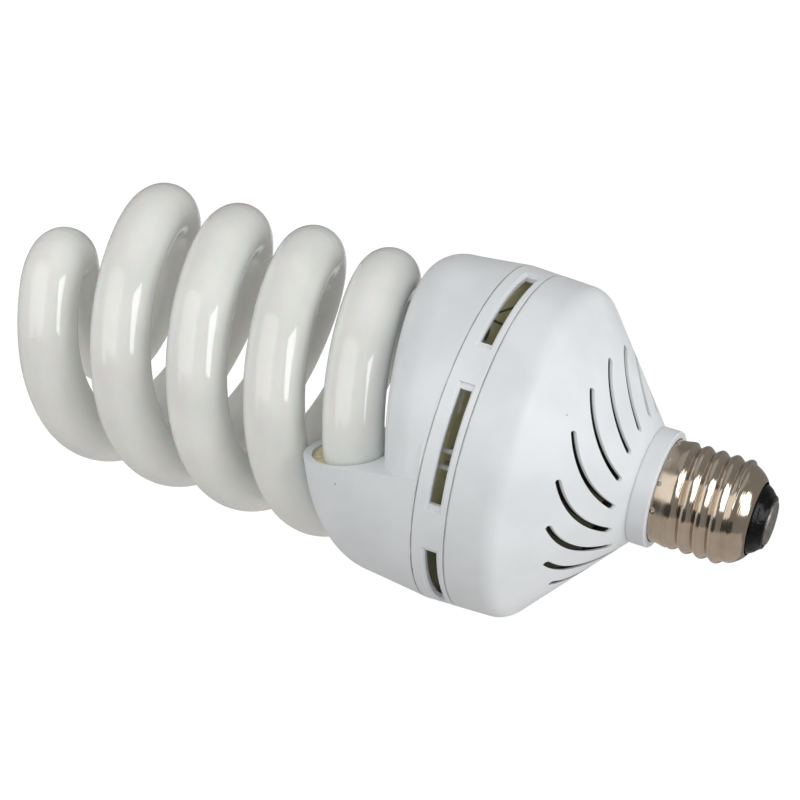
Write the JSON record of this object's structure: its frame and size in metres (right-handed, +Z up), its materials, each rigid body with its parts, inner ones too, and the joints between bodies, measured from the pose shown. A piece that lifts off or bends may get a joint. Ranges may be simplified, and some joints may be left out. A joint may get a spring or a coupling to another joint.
{
  "type": "spiral energy saving bulb",
  "caption": "Large compact fluorescent lamp: a double spiral discharge tube on a cone housing with air slots and a ring of windows, on a screw cap with a centre contact.",
  "frame": {"origin": "centre of the face of the cap's centre contact", "axes": "The bulb hangs cap up, as in a pendant. +Z runs up along its axis, out of the cap into the lampholder; the spiral is below, towards -Z. The picture looks at the side that faces -Y."},
  "size_m": [0.0844, 0.0844, 0.1939],
  "materials": {
    "tube_glass": "glossy glass, opaque white with its inner phosphor coat",
    "cement": "hard yellowish cement, slightly uneven",
    "housing_plastic": "cool white moulded plastic, satin",
    "cap_shell": "nickel plated sheet, warm, slightly dull, with light scuffs",
    "insulator": "black vitreous glass, glossy, stored as an opaque gloss",
    "contact_metal": "tinned contact, dull with fine marks",
    "solder": "tin solder, satin",
    "board": "olive tan laminate, matte",
    "capacitor_sleeve": "black shrink sleeve",
    "ferrite": "dark grey ferrite, matte",
    "bobbin": "black phenolic moulding",
    "winding": "lacquered copper wire",
    "winding_tape": "yellow insulating tape",
    "package_black": "black epoxy",
    "film_red": "dipped film capacitor, dark red",
    "film_green": "dipped film capacitor, green",
    "resistor_tan": "lacquered resistor, tan",
    "fuse_grey": "flameproof coat, grey green",
    "thermistor_brown": "dipped disc, brown",
    "tinned_wire": "tinned copper",
    "white_sleeve": "white glass fibre sleeve",
    "live_insulation": "red wire insulation",
    "neutral_insulation": "black wire insulation"
  },
  "bodies": {
    "root": {"discharge_tube": "tube_glass", "tube_cement": "cement", "tube_cover": "housing_plastic", "vent_ring": "housing_plastic", "base_housing": "housing_plastic", "screw_shell": "cap_shell", "cap_insulator": "insulator", "centre_contact": "contact_metal", "contact_solder": "solder", "circuit_board": "board", "bulk_capacitor": "capacitor_sleeve", "inductor_core": "ferrite", "inductor_bobbin": "bobbin", "inductor_winding": "winding_tape", "transformer_core": "ferrite", "transformer_winding": "winding", "power_transistors": "package_black", "rectifier_diodes": "package_black", "start_capacitor": "film_red", "coupling_capacitors": "film_green", "resistors": "resistor_tan", "fuse_resistor": "fuse_grey", "filter_choke": "ferrite", "thermistor": "thermistor_brown", "wire_posts": "tinned_wire", "tube_lead_wires": "white_sleeve", "live_wire": "live_insulation", "neutral_wire": "neutral_insulation"}
  },
  "joints": []
}
